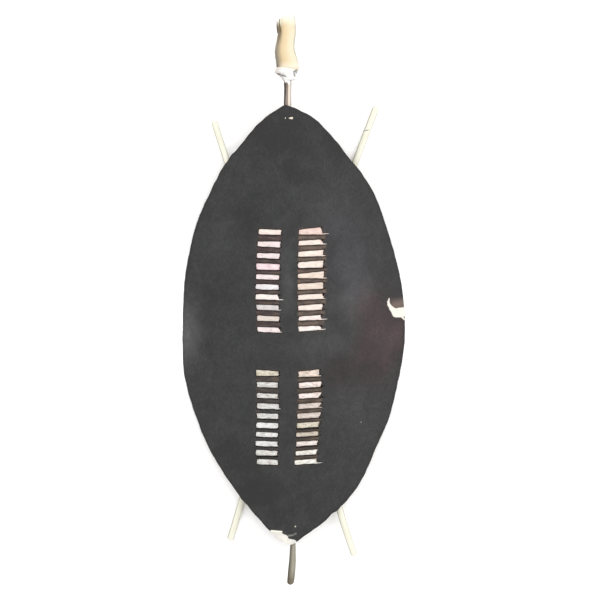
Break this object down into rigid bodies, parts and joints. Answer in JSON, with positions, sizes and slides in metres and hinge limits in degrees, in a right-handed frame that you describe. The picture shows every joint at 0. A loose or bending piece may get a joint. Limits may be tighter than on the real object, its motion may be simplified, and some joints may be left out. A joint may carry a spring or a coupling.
{
  "type": "hide shield",
  "caption": "Pointed-oval black cowhide shield with pale hide lacing woven through slits, a centre stick with a skin sleeve, and crossed brace sticks behind.",
  "frame": {"origin": "middle of the shield's bounding box on the surface it lies on, with its face up", "axes": "+Y from the foot of the centre stick to the shield's top, +X to the right seen from the front, +Z out of the face"},
  "size_m": [0.4441, 1.136, 0.0586],
  "materials": {
    "black_hide": "short glossy hair",
    "pale_strip": "scraped pale hide",
    "weathered_stick": "weathered, bark rubbed off",
    "peeled_stick": "peeled, dry",
    "sleeve_skin": "soft pale skin with short hair",
    "white_skin": "dry white skin",
    "thong": "raw thong"
  },
  "bodies": {
    "root": {"hide": "black_hide", "lacing_upper_left": "pale_strip", "lacing_upper_right": "pale_strip", "lacing_lower_left": "pale_strip", "lacing_lower_right": "pale_strip", "centre_stick": "weathered_stick", "brace_stick_left": "peeled_stick", "brace_stick_right": "peeled_stick", "tuft": "sleeve_skin", "tuft_binding": "white_skin", "top_tie": "thong", "low_tie": "thong", "cross_lashing": "thong"}
  },
  "joints": []
}
